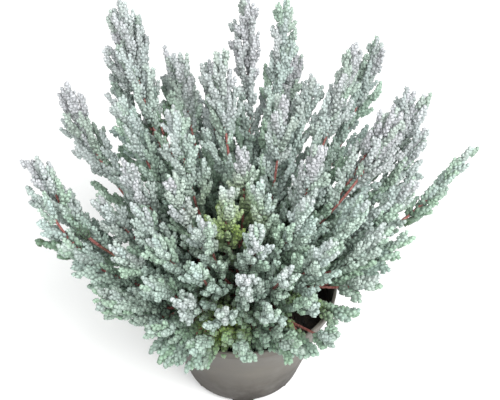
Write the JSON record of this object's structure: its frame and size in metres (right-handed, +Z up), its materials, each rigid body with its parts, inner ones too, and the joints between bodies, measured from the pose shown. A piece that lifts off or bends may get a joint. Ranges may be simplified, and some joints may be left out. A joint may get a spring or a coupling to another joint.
{
  "type": "potted heather",
  "caption": "Bushy silver-leaved heather without flowers, growing in peat in a round tapered plastic nursery pot.",
  "frame": {"origin": "middle of the pot's base, on the surface that it stands on", "axes": "+Z up, +X to the right and -Y to the front as the plant is displayed; the tallest shoots lean to +Y"},
  "size_m": [0.29, 0.2132, 0.2449],
  "materials": {
    "pot": "moulded taupe-grey polypropylene, faintly ribbed and dusty",
    "soil": "dark moist peat with fibres and crumbs",
    "wood": "thin red-brown bark",
    "leaf": "silver-green scale leaves with short grey hairs, matte"
  },
  "bodies": {
    "root": {"pot": "pot", "soil": "soil", "woody_crown": "wood", "leafy_shoot_01": "leaf", "leafy_shoot_02": "leaf", "leafy_shoot_03": "leaf", "leafy_shoot_04": "leaf", "leafy_shoot_05": "leaf", "leafy_shoot_06": "leaf", "leafy_shoot_07": "leaf", "leafy_shoot_08": "leaf", "leafy_shoot_09": "leaf", "leafy_shoot_10": "leaf", "leafy_shoot_11": "leaf", "leafy_shoot_12": "leaf", "leafy_shoot_13": "leaf", "leafy_shoot_14": "leaf", "leafy_shoot_15": "leaf", "leafy_shoot_16": "leaf", "leafy_shoot_17": "leaf", "leafy_shoot_18": "leaf", "leafy_shoot_19": "leaf", "leafy_shoot_20": "leaf", "leafy_shoot_21": "leaf", "leafy_shoot_22": "leaf", "leafy_shoot_23": "leaf", "leafy_shoot_24": "leaf", "leafy_shoot_25": "leaf", "leafy_shoot_26": "leaf", "leafy_shoot_27": "leaf", "leafy_shoot_28": "leaf", "leafy_shoot_29": "leaf", "leafy_shoot_30": "leaf", "leafy_shoot_31": "leaf", "leafy_shoot_32": "leaf", "leafy_shoot_33": "leaf", "leafy_shoot_34": "leaf", "leafy_shoot_35": "leaf", "leafy_shoot_36": "leaf", "leafy_shoot_37": "leaf", "leafy_shoot_38": "leaf", "leafy_shoot_39": "leaf", "leafy_shoot_40": "leaf", "leafy_shoot_41": "leaf", "leafy_shoot_42": "leaf", "leafy_shoot_43": "leaf", "leafy_shoot_44": "leaf", "leafy_shoot_45": "leaf", "leafy_shoot_46": "leaf", "leafy_shoot_47": "leaf", "leafy_shoot_48": "leaf", "leafy_shoot_49": "leaf", "leafy_shoot_50": "leaf", "leafy_shoot_51": "leaf", "leafy_shoot_52": "leaf", "leafy_shoot_53": "leaf", "leafy_shoot_54": "leaf", "leafy_shoot_55": "leaf", "leafy_shoot_56": "leaf", "leafy_shoot_57": "leaf"}
  },
  "joints": []
}
